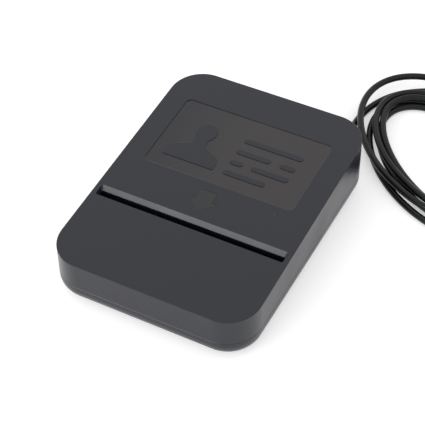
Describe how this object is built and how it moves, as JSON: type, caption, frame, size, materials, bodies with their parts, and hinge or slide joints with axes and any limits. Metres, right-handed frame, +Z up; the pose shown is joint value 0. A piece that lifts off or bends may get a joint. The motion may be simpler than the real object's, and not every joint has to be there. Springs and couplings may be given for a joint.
{
  "type": "id document scanner",
  "caption": "Dark grey desktop slot reader for cards and passport pages, wedge-shaped case with rounded corners, card symbol on top and a coiled USB cable.",
  "frame": {"origin": "centre of the case footprint on the table it stands on", "axes": "+X to the right of the person using it, +Y to the rear where the cable leaves, +Z up"},
  "size_m": [0.2851, 0.3169, 0.0448],
  "materials": {
    "case_plastic": "finely textured dark grey moulded plastic",
    "foot_rubber": "matt rubber",
    "cable_jacket": "smooth black jacket with a soft sheen",
    "plug_plastic": "satin black overmould",
    "plug_steel": "bright nickel plate",
    "plug_insulator": "white insulator",
    "inner_black": "matt black, keeps stray light down",
    "window_glass": "clear, polished",
    "gasket_foam": "soft black foam",
    "lens_glass": "coated glass",
    "lens_metal": "black anodised",
    "circuit_board": "green solder mask",
    "screw_steel": "zinc plated",
    "shield_steel": "tinned sheet",
    "coil_grey": "sintered grey",
    "can_aluminium": "bare",
    "sensor_glass": "dark polished package",
    "lamp_white": "white package with a yellow face",
    "pin_brass": "gold flash",
    "socket_plastic": "ivory plastic",
    "ribbon_film": "white film",
    "lead_insulation": "grey insulation"
  },
  "bodies": {
    "reader": {"antenna_board": "circuit_board", "antenna_ribbon": "ribbon_film", "base_shell": "case_plastic", "board_screws": "screw_steel", "buzzer": "inner_black", "cable": "cable_jacket", "cable_boot": "cable_jacket", "cable_clamp": "inner_black", "cable_coil": "cable_jacket", "cable_cores": "lead_insulation", "cable_tail": "cable_jacket", "camera_board": "circuit_board", "camera_ribbon": "ribbon_film", "camera_screws": "screw_steel", "capacitors": "can_aluminium", "case_screws": "screw_steel", "clamp_screw": "screw_steel", "clock_crystal": "shield_steel", "foot_front_left": "foot_rubber", "foot_front_right": "foot_rubber", "foot_rear_left": "foot_rubber", "foot_rear_right": "foot_rubber", "guide_screws": "screw_steel", "header_plug": "socket_plastic", "housing_screws": "screw_steel", "image_sensor": "sensor_glass", "inner_cable": "cable_jacket", "lead_sockets": "socket_plastic", "led_board_left": "circuit_board", "led_board_right": "circuit_board", "led_pins": "pin_brass", "leds": "lamp_white", "lens_barrel": "lens_metal", "lens_glass": "lens_glass", "lens_holder": "inner_black", "lever_pin": "screw_steel", "light_gate": "inner_black", "main_board": "circuit_board", "memory_chips": "inner_black", "optics_housing": "inner_black", "plug_grip": "plug_plastic", "plug_shell": "plug_steel", "plug_tongue": "plug_insulator", "power_inductors": "coil_grey", "processor": "inner_black", "radio_shield": "shield_steel", "ribbon_sockets": "socket_plastic", "sensor_board": "circuit_board", "sensor_leads": "lead_insulation", "slot_guide": "inner_black", "upper_cover": "case_plastic", "window_gasket": "gasket_foam", "window_glass": "window_glass"},
    "lever": {"document_lever": "inner_black"}
  },
  "joints": [
    {"name": "lever_pivot", "type": "hinge", "parent": "reader", "child": "lever", "pos_m": [0.0595, -0.0432, 0.02535], "axis": [-1, 0, 0], "range_deg": [0, 26]}
  ]
}
